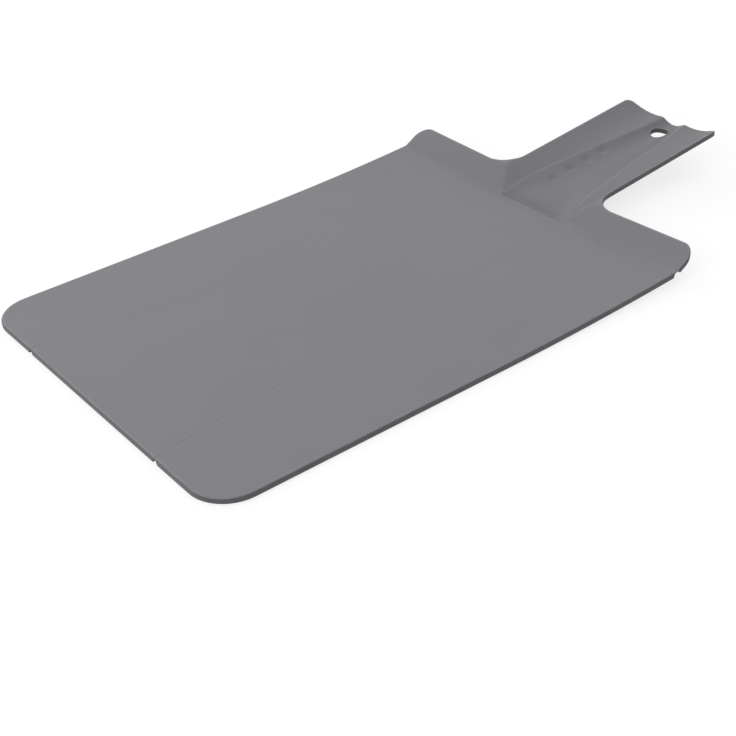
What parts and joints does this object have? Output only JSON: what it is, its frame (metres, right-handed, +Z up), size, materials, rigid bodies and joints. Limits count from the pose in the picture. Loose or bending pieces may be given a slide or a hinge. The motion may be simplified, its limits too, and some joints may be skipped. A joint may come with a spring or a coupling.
{
  "type": "folding cutting mat",
  "caption": "Grey moulded folding cutting board: flat panels on living hinges, a raised rear rim and a winged channel handle with a hanging hole; squeezing the handle folds the sides up.",
  "frame": {"origin": "under the middle of the part, on the surface that its feet rest on", "axes": "+Y along the board towards the handle, +X to the right-hand side seen from the front edge, +Z up"},
  "size_m": [0.212, 0.3864, 0.0244],
  "materials": {
    "board_plastic": "satin, fine moulded grain",
    "hinge_web": "satin",
    "foot_rubber": "matt"
  },
  "bodies": {
    "board": {"centre_panel": "board_plastic", "centre_left_front_foot": "foot_rubber", "centre_left_rear_foot": "foot_rubber", "centre_right_front_foot": "foot_rubber", "centre_right_rear_foot": "foot_rubber", "left_side_hinge": "hinge_web", "right_side_hinge": "hinge_web", "root_hinge": "hinge_web"},
    "left_side": {"left_side_panel": "board_plastic", "left_front_foot": "foot_rubber", "left_rear_foot": "foot_rubber", "left_rear_hinge": "hinge_web"},
    "right_side": {"right_side_panel": "board_plastic", "right_front_foot": "foot_rubber", "right_rear_foot": "foot_rubber", "right_rear_hinge": "hinge_web"},
    "spine": {"handle_spine": "board_plastic", "left_handle_hinge": "hinge_web", "right_handle_hinge": "hinge_web"},
    "left_wing": {"left_handle_wing": "board_plastic"},
    "right_wing": {"right_handle_wing": "board_plastic"}
  },
  "joints": [
    {"name": "left_side_fold", "type": "hinge", "parent": "board", "child": "left_side", "pos_m": [-0.0587, -0.1932, 0.0038], "axis": [0.1261, 0.992, 0], "range_deg": [0, 60], "stiffness_Nm_per_rad": 0.06, "deforming": ["left_side_hinge"]},
    {"name": "right_side_fold", "type": "hinge", "parent": "board", "child": "right_side", "pos_m": [0.0587, -0.1932, 0.0038], "axis": [0.1261, -0.992, 0], "range_deg": [0, 60], "deforming": ["right_side_hinge"]},
    {"name": "handle_dip", "type": "hinge", "parent": "board", "child": "spine", "pos_m": [0, 0.0813, 0.0025], "axis": [-1, 0, 0], "range_deg": [0, 7.5], "deforming": ["root_hinge"]},
    {"name": "left_wing_fold", "type": "hinge", "parent": "spine", "child": "left_wing", "pos_m": [-0.0238, 0.0813, 0.0052], "axis": [0.1405, 0.9825, 0.122], "range_deg": [0, 60], "deforming": ["left_handle_hinge", "left_rear_hinge"]},
    {"name": "right_wing_fold", "type": "hinge", "parent": "spine", "child": "right_wing", "pos_m": [0.0238, 0.0813, 0.0052], "axis": [0.1405, -0.9825, -0.122], "range_deg": [0, 60], "deforming": ["right_handle_hinge", "right_rear_hinge"]}
  ],
  "couplings": [
    {"joint": "right_side_fold", "follows": "left_side_fold", "ratio": 1},
    {"joint": "handle_dip", "follows": "left_side_fold", "ratio": 0.125},
    {"joint": "left_wing_fold", "follows": "left_side_fold", "ratio": 1},
    {"joint": "right_wing_fold", "follows": "left_side_fold", "ratio": 1}
  ]
}
